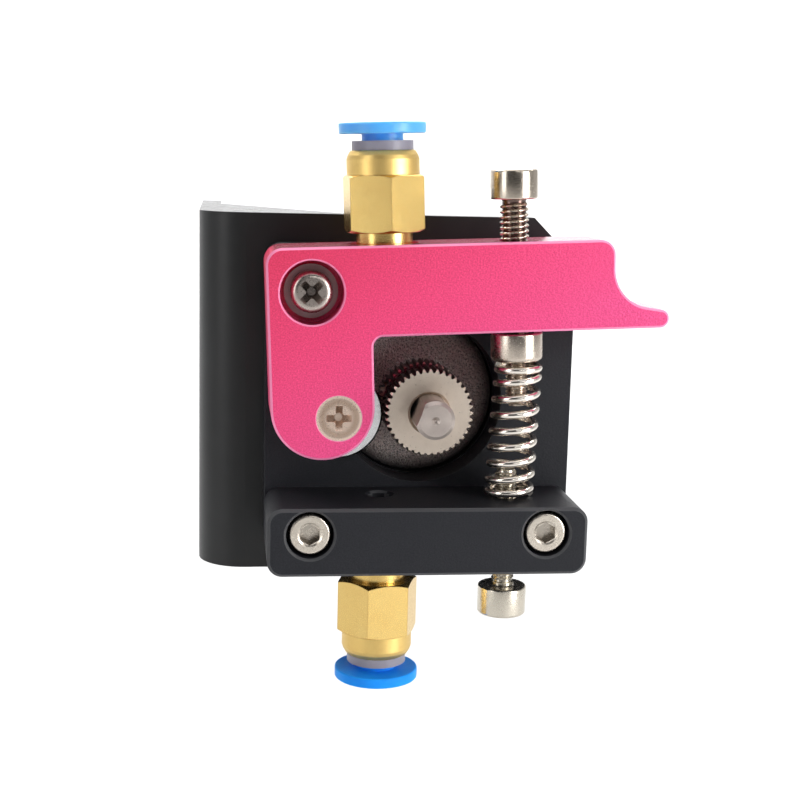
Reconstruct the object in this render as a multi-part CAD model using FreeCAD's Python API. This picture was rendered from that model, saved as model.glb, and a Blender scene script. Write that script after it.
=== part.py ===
import FreeCAD, Part
import math
import os
from FreeCAD import Vector as V

os.makedirs("parts", exist_ok=True)

# ----------------------------------------------------------------- frame
# The pieces are drawn from the motor axis at the base block's front face and
# saved with the origin at the centre of the foot's slot pattern, on the foot's
# outer face. +X to the right, +Y back towards the motor, +Z up. Millimetres.

# ------------------------------------------------------ driving dimensions
SCREW_PITCH = 31.0            # square pattern of the motor face screws
HP = SCREW_PITCH / 2.0

# base block: square plate with a thick bar across its lower edge
BASE_W = 42.0
BASE_T = 5.4
BAR_H = 9.0
BAR_D = 12.8
BAR_TOP = -21.0 + BAR_H
CORNER_R = 2.0
BASE_HOLE_D = 22.6

# folded steel mounting bracket
BR_T = 3.0
BR_HALF_H = 24.85
BR_X0 = -30.0
BR_X1 = 20.5
BR_Y0 = BASE_T
BR_DEPTH = 50.0
BR_BEND_R = 6.5
BR_CHAMFER = 4.3
BR_GUSSET_T = 3.0
FOOT_SLOT_W = 4.4
FOOT_SLOT_L = 10.0
FOOT_SLOT_Y = (25.0, 45.0)
FOOT_SLOT_Z = 15.0
ORIGIN = (BR_X0, (FOOT_SLOT_Y[0] + FOOT_SLOT_Y[1]) / 2.0, 0.0)

# stepper motor
MOTOR_Y0 = BR_Y0 + BR_T       # mounting face
MOTOR_W = 42.3
MOTOR_CHAMFER = 4.6
MOTOR_CAP_F = 8.0
MOTOR_STACK = 22.0
MOTOR_CAP_R = 10.0
SHAFT_R = 2.5
SHAFT_TIP_Y = -15.4
FLAT_ANGLE = 160.0            # the flat of the shaft faces left and slightly up

# drive gear
GEAR_TEETH = 40
GEAR_R = 5.76
GEAR_ROOT_R = 5.3
GEAR_Y0 = -9.74
GEAR_W = 11.0
FIL_Y = -4.3                  # filament runs in this plane
GROOVE_R = 1.35

# idler arm, drawn square and then turned to its rest angle
REST_TILT = 2.4
PIV_X, PIV_Z = -HP, HP
ARM_Y0, ARM_Y1 = -10.2, -0.6
ARM_TOP, ARM_BOT = 5.75, -5.9
ARM_EDGE = 0.3
LEG_C = (0.95, -15.0)
LEG_R = 6.7
BRG_C = (3.0, -16.3)          # idler bearing screw
BRG_R = 6.0
BRG_W = 4.0
BRG_Y0 = -6.7
PLATE_REAR_Y = -7.0           # floor of the bearing pocket
FIT_X = 9.95                  # tube fitting on the arm
TEN_X = 26.8                  # tension screw on the arm
SEAT_X = 27.05
SPR_Y = -6.2

# tube fittings, s runs from the hex end face towards the collet
FIT_AF = 9.7
FIT_HEX_L = 7.35
FIT_ROUND_D = 9.5
FIT_ROUND_L = 3.15
FIT_COLLAR_D = 7.4
FIT_COLLAR_L = 2.2
FIT_THREAD_D = 6.0
FIT_THREAD_L = 5.0
COLLET_GAP = 0.9
COLLET_DISC_R = 5.65
COLLET_DISC_T = 1.4
COLLET_NECK_R = 2.7
FIT_RING_R = 4.0
UP_HEX_Z = 7.15               # hex end face on the arm
LOW_X = -5.7
LOW_HEX_Z = -23.5
TUBE_R = 2.05

# spring, seat and screws
WIRE_R = 0.5
SPR_TURNS = 9.5
GUIDE_X = 11.1
GUIDE_R = 1.55
SEAT_PIN_L = 6.0

# ---------------------------------------------------------------- helpers
YAX = V(0, 1, 0)
ZAX = V(0, 0, 1)


def save(shape, name):
    s = shape.removeSplitter() if shape.ShapeType == "Solid" else shape.copy()
    s.translate(V(-ORIGIN[0], -ORIGIN[1], -ORIGIN[2]))
    s.exportStep("parts/" + name + ".step")
    print("%-24s solids %d  volume %.3f  valid %s" % (name, len(shape.Solids), shape.Volume, shape.isValid()))


def one(shape):
    s = shape.removeSplitter()
    return s.Solids[0] if len(s.Solids) == 1 else s


def cy(x, z, r, y0, y1):
    return Part.makeCylinder(r, y1 - y0, V(x, y0, z), YAX)


def cz(x, y, r, z0, z1):
    return Part.makeCylinder(r, z1 - z0, V(x, y, z0), ZAX)


def coney(x, z, r0, r1, y0, y1):
    return Part.makeCone(r0, r1, y1 - y0, V(x, y0, z), YAX)


def conez(x, y, r0, r1, z0, z1):
    return Part.makeCone(r0, r1, z1 - z0, V(x, y, z0), ZAX)


def box(x0, x1, y0, y1, z0, z1):
    return Part.makeBox(x1 - x0, y1 - y0, z1 - z0, V(x0, y0, z0))


def rounded_plate(x0, x1, z0, z1, y0, y1, r):
    b = box(x0, x1, y0, y1, z0, z1)
    es = [e for e in b.Edges if abs(e.Vertexes[0].Point.x - e.Vertexes[1].Point.x) < 1e-6
          and abs(e.Vertexes[0].Point.z - e.Vertexes[1].Point.z) < 1e-6]
    return b.makeFillet(r, es)


def chamfered_plate(w, c, y0, y1):
    h = w / 2.0
    p = [(-h + c, -h), (h - c, -h), (h, -h + c), (h, h - c), (h - c, h), (-h + c, h), (-h, h - c), (-h, -h + c)]
    pts = [V(x, y0, z) for x, z in p]
    return Part.Face(Part.makePolygon(pts + [pts[0]])).extrude(V(0, y1 - y0, 0))


def revolve_z(pts, x=0.0, y=0.0):
    """Closed profile of (radius, height) turned about the vertical through x, y."""
    p = [V(r, 0, z) for r, z in pts]
    s = Part.Face(Part.makePolygon(p + [p[0]])).revolve(V(0, 0, 0), ZAX, 360)
    s.translate(V(x, y, 0))
    return s


def revolve_y(pts, x=0.0, z=0.0):
    p = [V(r, y, 0) for r, y in pts]
    s = Part.Face(Part.makePolygon(p + [p[0]])).revolve(V(0, 0, 0), YAX, 360)
    s.translate(V(x, 0, z))
    return s


def hex_prism_z(af, z0, z1, turn=0.0, x=0.0, y=0.0):
    r = af / math.sqrt(3.0)
    pts = [V(x + r * math.cos(math.radians(turn + 60 * i)), y + r * math.sin(math.radians(turn + 60 * i)), z0)
           for i in range(6)]
    return Part.Face(Part.makePolygon(pts + [pts[0]])).extrude(V(0, 0, z1 - z0))


def hex_prism_y(af, y0, y1, turn=0.0, x=0.0, z=0.0):
    r = af / math.sqrt(3.0)
    pts = [V(x + r * math.cos(math.radians(turn + 60 * i)), y0, z + r * math.sin(math.radians(turn + 60 * i)))
           for i in range(6)]
    return Part.Face(Part.makePolygon(pts + [pts[0]])).extrude(V(0, y1 - y0, 0))


def cross_recess(x, z, y_face, span, depth, turn):
    """Phillips recess cut into a face that looks along -Y."""
    w = span * 0.27
    a = box(-span / 2, span / 2, 0, depth, -w / 2, w / 2)
    b = box(-w / 2, w / 2, 0, depth, -span / 2, span / 2)
    c = a.fuse(b)
    cone = Part.makeCone(span / 2 * 1.02, span * 0.16, depth, V(0, 0, 0), YAX)
    c = c.common(cone)
    c = c.fuse(Part.makeCone(span * 0.24, span * 0.12, depth * 1.05, V(0, 0, 0), YAX))
    c.rotate(V(0, 0, 0), YAX, turn)
    c.translate(V(x, y_face, z))
    return c


def to_rest(shape):
    s = shape.copy()
    s.rotate(V(0, 0, 0), YAX, -REST_TILT)
    s.translate(V(PIV_X, 0, PIV_Z))
    return s


def rest_point(x, z):
    c, s = math.cos(math.radians(REST_TILT)), math.sin(math.radians(REST_TILT))
    return PIV_X + x * c - z * s, PIV_Z + x * s + z * c


# ------------------------------------------------------------- base block
plate = rounded_plate(-21, 21, -21, 21, 0, BASE_T, CORNER_R)
bar = rounded_plate(-21, 21, -21, BAR_TOP, -BAR_D, 0.5, CORNER_R)
fe = [e for e in bar.Edges if all(abs(v.Point.y + BAR_D) < 1e-6 for v in e.Vertexes)]
bar = bar.makeChamfer(0.4, fe)
base = plate.fuse(bar)
base = base.cut(cy(0, 0, BASE_HOLE_D / 2, -1, BASE_T + 1))
for sx in (-1, 1):
    base = base.cut(cy(sx * HP, -HP, 3.1, -BAR_D - 1, -8.88))
    base = base.cut(cy(sx * HP, -HP, 1.6, -9, BASE_T + 1))
    base = base.cut(coney(sx * HP, -HP, 3.4, 3.1, -BAR_D - 0.001, -BAR_D + 0.3))
base = base.cut(cy(PIV_X, PIV_Z, 1.6, -1, BASE_T + 1))
base = base.cut(cy(HP, HP, 1.6, -1, BASE_T + 1))
base = base.cut(coney(HP, HP, 3.05, 1.6, -0.001, 1.75))
base = base.cut(cz(LOW_X, FIL_Y, FIT_THREAD_D / 2 + 0.02, -22, -15.4))
base = base.cut(cz(LOW_X, FIL_Y, 1.7, -16, -11))
base = base.cut(conez(LOW_X, FIL_Y, 1.7, 2.0, BAR_TOP - 0.3, BAR_TOP + 0.001))
base = base.cut(cz(GUIDE_X, SPR_Y, GUIDE_R + 0.03, -22, -11))
base = one(base)
save(base, "base_block")

# --------------------------------------------------------- mount bracket
x0, x1, y0, t, R = BR_X0, BR_X1, BR_Y0, BR_T, BR_BEND_R
ye = BR_Y0 + BR_DEPTH
c45 = math.cos(math.radians(45))
cxo, cyo = x0 + R, y0 + R
Ri = R - t
outer = [
    Part.LineSegment(V(x1, y0, 0), V(cxo, y0, 0)),
    Part.Arc(V(cxo, y0, 0), V(cxo - R * c45, cyo - R * c45, 0), V(x0, cyo, 0)),
    Part.LineSegment(V(x0, cyo, 0), V(x0, ye, 0)),
    Part.LineSegment(V(x0, ye, 0), V(x0 + t, ye, 0)),
    Part.LineSegment(V(x0 + t, ye, 0), V(x0 + t, cyo, 0)),
    Part.Arc(V(x0 + t, cyo, 0), V(cxo - Ri * c45, cyo - Ri * c45, 0), V(cxo, y0 + t, 0)),
    Part.LineSegment(V(cxo, y0 + t, 0), V(x1, y0 + t, 0)),
    Part.LineSegment(V(x1, y0 + t, 0), V(x1, y0, 0)),
]
w = Part.Wire([s.toShape() for s in outer])
bracket = Part.Face(w).extrude(V(0, 0, 2 * BR_HALF_H))
bracket.translate(V(0, 0, -BR_HALF_H))
H = BR_HALF_H
for sz in (-1, 1):
    # corner chamfers on the free edge of the plate and of the foot
    p = [V(x1 - BR_CHAMFER, y0 - 1, sz * (H + 0.01)), V(x1 + 0.01, y0 - 1, sz * (H + 0.01)),
         V(x1 + 0.01, y0 - 1, sz * (H - BR_CHAMFER))]
    bracket = bracket.cut(Part.Face(Part.makePolygon(p + [p[0]])).extrude(V(0, t + 2, 0)))
    p = [V(x0 - 1, ye - BR_CHAMFER, sz * (H + 0.01)), V(x0 - 1, ye + 0.01, sz * (H + 0.01)),
         V(x0 - 1, ye + 0.01, sz * (H - BR_CHAMFER))]
    bracket = bracket.cut(Part.Face(Part.makePolygon(p + [p[0]])).extrude(V(t + 2, 0, 0)))
    # triangular gusset in the corner of the fold, flush with the sheet's edge
    g0 = H - BR_GUSSET_T if sz > 0 else -H
    p = [V(x0 + 1.5, y0 + R, g0), V(cxo, y0 + 1.5, g0), V(-10.5, y0 + 1.5, g0), V(-10.5, y0 + t + 0.8, g0),
         V(x0 + t + 0.8, 36.0, g0), V(x0 + 1.5, 36.0, g0)]
    gus = Part.Face(Part.makePolygon(p + [p[0]])).extrude(V(0, 0, BR_GUSSET_T))
    bracket = bracket.fuse(gus)
bracket = bracket.cut(cy(0, 0, 11.2, 0, 20))
for sx in (-1, 1):
    for sz in (-1, 1):
        bracket = bracket.cut(cy(sx * HP, sz * HP, 1.65, 0, 20))
for yy in FOOT_SLOT_Y:
    for sz in (-1, 1):
        a = (FOOT_SLOT_L - FOOT_SLOT_W) / 2.0
        sl = box(x0 - 1, x0 + t + 1, yy - a, yy + a, sz * FOOT_SLOT_Z - FOOT_SLOT_W / 2, sz * FOOT_SLOT_Z + FOOT_SLOT_W / 2)
        for s2 in (-1, 1):
            sl = sl.fuse(Part.makeCylinder(FOOT_SLOT_W / 2, t + 2, V(x0 - 1, yy + s2 * a, sz * FOOT_SLOT_Z), V(1, 0, 0)))
        bracket = bracket.cut(sl)
bracket = one(bracket)
save(bracket, "mount_bracket")

# --------------------------------------------------- screws into the motor
TIP_Y = MOTOR_Y0 + 4.1


def cap_screw(x, z, y_head, y_floor, y_tip):
    s = cy(x, z, 2.68, y_head, y_floor)
    ed = [e for e in s.Edges if e.Curve.TypeId == "Part::GeomCircle" and abs(e.Curve.Center.y - y_head) < 1e-6]
    s = s.makeFillet(0.35, ed)
    s = s.fuse(cy(x, z, 1.5, y_floor - 0.5, y_tip - 0.4)).fuse(coney(x, z, 1.5, 1.1, y_tip - 0.4, y_tip))
    s = s.cut(hex_prism_y(2.5, y_head - 1, y_head + 1.6, 30.0, x, z))
    s = s.cut(coney(x, z, 1.62, 1.4, y_head - 0.001, y_head + 0.15))
    return one(s)


base_screws = [cap_screw(sx * HP, -HP, -BAR_D + 0.56, -8.88, TIP_Y) for sx in (-1, 1)]
save(Part.makeCompound(base_screws), "base_screws")

flat = coney(HP, HP, 2.95, 1.5, 0.1, 1.75).fuse(cy(HP, HP, 1.5, 1.7, TIP_Y))
flat = flat.cut(cross_recess(HP, HP, 0.1, 3.2, 1.2, 20))
save(one(flat), "hidden_base_screw")

# pivot: washer, bush and pan head screw
BUSH_FRONT = -6.9
pan = cy(PIV_X, PIV_Z, 2.7, BUSH_FRONT - 0.5 - 2.2, BUSH_FRONT - 0.5)
ed = [e for e in pan.Edges if e.Curve.TypeId == "Part::GeomCircle" and abs(e.Curve.Center.y - (BUSH_FRONT - 2.7)) < 1e-6]
pan = pan.makeFillet(0.9, ed)
pan = pan.fuse(cy(PIV_X, PIV_Z, 1.5, BUSH_FRONT - 1.0, TIP_Y))
pan = pan.cut(cross_recess(PIV_X, PIV_Z, BUSH_FRONT - 2.7, 3.4, 1.5, 45))
save(one(pan), "pivot_screw")
save(one(cy(PIV_X, PIV_Z, 3.5, BUSH_FRONT - 0.5, BUSH_FRONT).cut(cy(PIV_X, PIV_Z, 1.6, -9, -5))), "pivot_washer")
save(one(cy(PIV_X, PIV_Z, 2.5, BUSH_FRONT, 0).cut(cy(PIV_X, PIV_Z, 1.55, -9, 1))), "pivot_bush")
save(one(cy(PIV_X, PIV_Z, 4.2, -0.5, 0).cut(cy(PIV_X, PIV_Z, 2.53, -1, 1))), "pivot_shim")

# ----------------------------------------------------------------- motor
YF = MOTOR_Y0
YS0 = YF + MOTOR_CAP_F
YS1 = YS0 + MOTOR_STACK
YE = YS1 + MOTOR_CAP_R
front = chamfered_plate(MOTOR_W, MOTOR_CHAMFER, YF, YS0)
boss = cy(0, 0, 11.0, YF - 2.0, YF + 0.5)
ed = [e for e in boss.Edges if e.Curve.TypeId == "Part::GeomCircle" and abs(e.Curve.Center.y - (YF - 2.0)) < 1e-6]
boss = boss.makeChamfer(0.35, ed)
front = front.fuse(boss)
front = front.cut(cy(0, 0, 4.4, YF - 3, YF + 2))
front = front.cut(cy(0, 0, 8.0, YF - 0.8, YF + 5.0))
front = front.cut(cy(0, 0, 17.5, YF + 4.6, YS0 + 1))
for sx in (-1, 1):
    for sz in (-1, 1):
        front = front.cut(cy(sx * HP, sz * HP, 1.51, YF - 1, YF + 4.3))
        front = front.cut(cy(sx * HP, sz * HP, 1.51, YF + 4.9, YS0 + 1))
save(one(front), "motor_front_cap")

stack = chamfered_plate(MOTOR_W, MOTOR_CHAMFER + 1.4, YS0, YS1)
stack = stack.cut(cy(0, 0, 11.6, YS0 - 1, YS1 + 1))
for sx in (-1, 1):
    for sz in (-1, 1):
        stack = stack.cut(cy(sx * HP, sz * HP, 1.6, YS0 - 1, YS1 + 1))
save(one(stack), "motor_stator")
coil_f = cy(0, 0, 16.6, YS0 - 2.6, YS0).cut(cy(0, 0, 12.2, YS0 - 3, YS0 + 1))
coil_r = cy(0, 0, 16.6, YS1, YS1 + 2.6).cut(cy(0, 0, 12.2, YS1 - 1, YS1 + 4))
save(Part.makeCompound([one(coil_f), one(coil_r)]), "motor_windings")

rear = chamfered_plate(MOTOR_W, MOTOR_CHAMFER, YS1, YE)
rear = rear.cut(cy(0, 0, 17.5, YS1 - 1, YS1 + 3.4))
rear = rear.cut(cy(0, 0, 8.0, YS1 + 3, YS1 + 8.4))
rear = rear.cut(cy(0, 0, 3.2, YS1 + 8, YE - 0.8))
for sx in (-1, 1):
    for sz in (-1, 1):
        rear = rear.cut(cy(sx * HP, sz * HP, 1.6, YS1 - 1, YE + 1))
        rear = rear.cut(cy(sx * HP, sz * HP, 2.9, YE - 3.0, YE + 1))
# connector bay in the lower side
rear = rear.cut(box(-8.2, 8.2, YS1 + 0.0, YS1 + 6.6, -22, -18.2))
save(one(rear), "motor_rear_cap")
con = box(-8.1, 8.1, YS1 + 0.1, YS1 + 6.5, -24.6, -18.3).cut(box(-7.1, 7.1, YS1 + 1.0, YS1 + 5.5, -25, -20.2))
con = con.cut(box(-5.0, -3.0, YS1 + 5.0, YS1 + 7.0, -25, -21.5)).cut(box(3.0, 5.0, YS1 + 5.0, YS1 + 7.0, -25, -21.5))
save(one(con), "motor_connector")
pins = [box(-5 + 2 * i - 0.25, -5 + 2 * i + 0.25, YS1 + 3.0, YS1 + 3.5, -23.6, -20.2) for i in range(6)]
save(Part.makeCompound(pins), "motor_connector_pins")


def case_screw(x, z):
    s = cy(x, z, 2.7, YE - 3.0, YE - 0.8)
    ed = [e for e in s.Edges if e.Curve.TypeId == "Part::GeomCircle" and abs(e.Curve.Center.y - (YE - 0.8)) < 1e-6]
    s = s.makeFillet(0.8, ed)
    s = s.fuse(cy(x, z, 1.5, YF + 5.1, YE - 2.9))
    r = cross_recess(0, 0, 0, 3.2, 1.2, 45)
    r.rotate(V(0, 0, 0), V(1, 0, 0), 180)
    r.translate(V(x, YE - 0.8, z))
    return one(s.cut(r))


save(Part.makeCompound([case_screw(sx * HP, sz * HP) for sx in (-1, 1) for sz in (-1, 1)]), "motor_case_screws")


def race_outer(yc, wd, ro, ri, rp, rb):
    return one(cy(0, 0, ro, yc - wd / 2, yc + wd / 2).cut(cy(0, 0, ri, yc - wd, yc + wd)).cut(
        Part.makeTorus(rp, rb, V(0, yc, 0), YAX)))


def race_inner(yc, wd, ro, ri, rp, rb):
    return one(cy(0, 0, ro, yc - wd / 2, yc + wd / 2).cut(cy(0, 0, ri, yc - wd, yc + wd)).cut(
        Part.makeTorus(rp, rb, V(0, yc, 0), YAX)))


def balls(yc, rp, rb, n, x=0.0, z=0.0):
    out = []
    for i in range(n):
        a = 2 * math.pi * (i + 0.3) / n
        out.append(Part.makeSphere(rb, V(x + rp * math.cos(a), yc, z + rp * math.sin(a))))
    return out


YB1, YB2 = YF + 2.5 , YS1 + 5.9
save(Part.makeCompound([race_outer(y, 5.0, 7.99, 6.4, 5.2, 1.62) for y in (YB1, YB2)]), "motor_bearing_outers")
save(Part.makeCompound([race_inner(y, 5.0, 4.0, 2.5, 5.2, 1.62) for y in (YB1, YB2)]), "motor_bearing_inners")
save(Part.makeCompound(balls(YB1, 5.2, 1.58, 7) + balls(YB2, 5.2, 1.58, 7)), "motor_bearing_balls")

# rotor, with fifty teeth on each of its two cups
prof = []
n = 50
for i in range(n):
    a = 2 * math.pi * i / n
    for da, r in ((-0.28, 10.7), (-0.2, 11.2), (0.2, 11.2), (0.28, 10.7)):
        b = a + da * 2 * math.pi / n
        prof.append(V(r * math.cos(b), YS0 + 1.0, r * math.sin(b)))
rot = Part.Face(Part.makePolygon(prof + [prof[0]])).extrude(V(0, 20, 0))
rot = rot.cut(cy(0, 0, 12, YS0 + 10.2, YS0 + 11.8).cut(cy(0, 0, 10.2, YS0 + 10, YS0 + 12)))
rot = rot.cut(cy(0, 0, SHAFT_R, YS0, YS1 + 1))
save(one(rot), "motor_rotor")

shaft = cy(0, 0, SHAFT_R, SHAFT_TIP_Y, YB2 + 3.2)
ed = [e for e in shaft.Edges if e.Curve.TypeId == "Part::GeomCircle" and abs(e.Curve.Center.y - SHAFT_TIP_Y) < 1e-6]
shaft = shaft.makeChamfer(0.45, ed)
fl = box(2.0, 4.0, SHAFT_TIP_Y - 1, -0.4, -4, 4)
fl.rotate(V(0, 0, 0), YAX, -FLAT_ANGLE)
shaft = shaft.cut(fl)
shaft = shaft.cut(coney(0, 0, 0.55, 0.1, SHAFT_TIP_Y - 0.001, SHAFT_TIP_Y + 0.4))
save(one(shaft), "motor_shaft")

# ------------------------------------------------------------ drive gear
prof = []
for i in range(GEAR_TEETH):
    a = 2 * math.pi * i / GEAR_TEETH
    for da, r in ((-0.34, GEAR_ROOT_R), (-0.13, GEAR_R), (0.13, GEAR_R), (0.34, GEAR_ROOT_R)):
        b = a + da * 2 * math.pi / GEAR_TEETH
        prof.append(V(r * math.cos(b), GEAR_Y0, r * math.sin(b)))
gear = Part.Face(Part.makePolygon(prof + [prof[0]])).extrude(V(0, GEAR_W, 0))
lim = revolve_y([(0, GEAR_Y0), (GEAR_R - 0.25, GEAR_Y0), (GEAR_R + 0.05, GEAR_Y0 + 0.3),
                 (GEAR_R + 0.05, GEAR_Y0 + GEAR_W - 0.3), (GEAR_R - 0.25, GEAR_Y0 + GEAR_W), (0, GEAR_Y0 + GEAR_W)])
gear = gear.common(lim)
gear = gear.cut(Part.makeTorus(GEAR_R + GROOVE_R - 0.6, GROOVE_R, V(0, FIL_Y, 0), YAX))
gear = gear.cut(cy(0, 0, SHAFT_R + 0.01, GEAR_Y0 - 1, GEAR_Y0 + GEAR_W + 1))
gear = gear.cut(coney(0, 0, SHAFT_R + 0.35, SHAFT_R, GEAR_Y0 - 0.001, GEAR_Y0 + 0.35))
fa = math.radians(FLAT_ANGLE)
fdir = V(math.cos(fa), 0, math.sin(fa))
SET_Y = -1.9
sc = Part.makeCylinder(1.52, 8, V(0, SET_Y, 0), fdir)
gear = gear.cut(sc)
save(one(gear), "drive_gear")
ss = Part.makeCylinder(1.5, 2.6, V(0, SET_Y, 0) + fdir * 2.45, fdir)
hx = hex_prism_z(1.5, 0, 1.6)
hx.Placement = FreeCAD.Placement(V(0, SET_Y, 0) + fdir * 3.9, FreeCAD.Rotation(ZAX, fdir))
ss = ss.cut(hx)
flatface = box(-4, 2.02, -20, 5, -4, 4)
flatface.rotate(V(0, 0, 0), YAX, -FLAT_ANGLE)
ss = ss.cut(flatface)
save(one(ss), "gear_set_screw")

# ------------------------------------------------------------- idler arm
k = math.cos(math.radians(45))


def arc(c, r, a0, a1):
    am = (a0 + a1) / 2.0
    f = lambda a: V(c[0] + r * math.cos(math.radians(a)), 0, c[1] + r * math.sin(math.radians(a)))
    return Part.Arc(f(a0), f(am), f(a1)), f(a0), f(a1)


TL, TR = 2.2, 2.0
segs = []


def line(p, q):
    segs.append(Part.LineSegment(p, q))


xl, xr = LEG_C[0] - LEG_R, LEG_C[0] + LEG_R
a1_, p1, p2 = arc((xl + TL, ARM_TOP - TL), TL, 180, 90)          # top left corner
XE = 39.4
a2_, p3, p4 = arc((XE - TR, ARM_TOP - TR), TR, 90, 0)            # top right corner
a3_, p5, p6 = arc((XE + 5.1, 1.85), 5.1, 180, 259.7)             # hollow of the finger lever
a4_, p7, p8 = arc((45.43, ARM_BOT + 1.19), 1.19, 79.7, -90)      # tip
RI = 1.3
a5_, p9, p10 = arc((xr + RI, ARM_BOT - RI), RI, 90, 180)         # inside corner
a6_, p11, p12 = arc(LEG_C, LEG_R, 0, -180)                       # round end of the leg
edges = [a1_, Part.LineSegment(p2, p3), a2_, Part.LineSegment(p4, p5), a3_, Part.LineSegment(p6, p7), a4_,
         Part.LineSegment(p8, p9), a5_, Part.LineSegment(p10, p11), a6_, Part.LineSegment(p12, p1)]
aw = Part.Wire([e.toShape() for e in edges])
arm = Part.Face(aw).extrude(V(0, ARM_Y1 - ARM_Y0, 0))
arm.translate(V(0, ARM_Y0, 0))
rim = [e for e in arm.Edges if all(abs(v.Point.y - ARM_Y0) < 1e-6 for v in e.Vertexes)]
arm = arm.makeChamfer(ARM_EDGE, rim)
rim = [e for e in arm.Edges if all(abs(v.Point.y - ARM_Y1) < 1e-6 for v in e.Vertexes)]
arm = arm.makeChamfer(0.3, rim)
# pivot bore and counterbore
arm = arm.cut(cy(0, 0, 2.53, -20, 5)).cut(cy(0, 0, 4.1, -20, -6.2))
arm = arm.cut(coney(0, 0, 4.32, 4.1, ARM_Y0 - 0.001, ARM_Y0 + 0.22))
# bearing screw and pocket
bx, bz = BRG_C
arm = arm.cut(cy(bx, bz, 1.55, -20, 5)).cut(coney(bx, bz, 3.05, 1.55, ARM_Y0 - 0.001, ARM_Y0 + 1.7))
arm = arm.cut(cy(bx, bz, BRG_R + 0.7, PLATE_REAR_Y, 5))
arm = arm.cut(box(bx, bx + 20, PLATE_REAR_Y, 5, bz - 12, bz + BRG_R + 0.7))
# tapped hole of the tube fitting, filament way below it
arm = arm.cut(cz(FIT_X, FIL_Y, FIT_THREAD_D / 2 + 0.02, UP_HEX_Z - FIT_COLLAR_L - FIT_THREAD_L - 0.3, 9))
arm = arm.cut(conez(FIT_X, FIL_Y, 3.9, 4.5, ARM_TOP - 1.1, ARM_TOP + 0.001))
arm = arm.cut(cz(FIT_X, FIL_Y, 1.4, -8, 2))
arm = arm.cut(conez(FIT_X, FIL_Y, 2.2, 1.4, ARM_BOT - 0.001, ARM_BOT + 0.8))
# tapped hole of the tension screw
arm = arm.cut(cz(TEN_X, SPR_Y, 1.95, -8, 8))
arm = one(arm)
save(to_rest(arm), "idler_arm")

# idler bearing with its screw, sleeve and nut
bs = coney(bx, bz, 2.95, 1.5, ARM_Y0 + 0.1, ARM_Y0 + 1.65).fuse(cy(bx, bz, 1.5, ARM_Y0 + 1.6, -0.95))
bs = bs.cut(cross_recess(bx, bz, ARM_Y0 + 0.1, 3.3, 1.3, REST_TILT))
save(one(to_rest(one(bs))), "bearing_screw")
sl = cy(bx, bz, 2.6, PLATE_REAR_Y, BRG_Y0).fuse(cy(bx, bz, 2.0, BRG_Y0, BRG_Y0 + BRG_W)).cut(cy(bx, bz, 1.52, -20, 5))
save(to_rest(one(sl)), "bearing_sleeve")
nut = hex_prism_y(5.5, BRG_Y0 + BRG_W, BRG_Y0 + BRG_W + 1.7, 10, bx, bz).cut(cy(bx, bz, 1.5, -20, 5))
nut = nut.common(revolve_y([(0, BRG_Y0 + BRG_W), (2.85, BRG_Y0 + BRG_W), (3.2, BRG_Y0 + BRG_W + 0.2),
                            (3.2, BRG_Y0 + BRG_W + 1.5), (2.85, BRG_Y0 + BRG_W + 1.7), (0, BRG_Y0 + BRG_W + 1.7)], bx, bz))
save(to_rest(one(nut)), "bearing_nut")
byc = BRG_Y0 + BRG_W / 2
inner = cy(bx, bz, 3.2, BRG_Y0, BRG_Y0 + BRG_W).cut(cy(bx, bz, 2.0, -20, 5)).cut(
    Part.makeTorus(4.05, 1.05, V(bx, byc, bz), YAX))
save(to_rest(one(inner)), "bearing_inner")
outr = revolve_y([(4.85, BRG_Y0), (5.75, BRG_Y0), (6.0, BRG_Y0 + 0.25), (6.0, BRG_Y0 + BRG_W - 0.25),
                  (5.75, BRG_Y0 + BRG_W), (4.85, BRG_Y0 + BRG_W)], bx, bz)
outr = outr.cut(Part.makeTorus(4.05, 1.05, V(bx, byc, bz), YAX))
save(to_rest(one(outr)), "bearing_outer")
save(to_rest(Part.makeCompound(balls(byc, 4.05, 1.0, 7, bx, bz))), "bearing_balls")
sh = [cy(bx, bz, 4.83, y, y + 0.25).cut(cy(bx, bz, 3.28, -20, 5)) for y in (BRG_Y0 + 0.15, BRG_Y0 + BRG_W - 0.4)]
save(to_rest(Part.makeCompound([one(s) for s in sh])), "bearing_shields")


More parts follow.
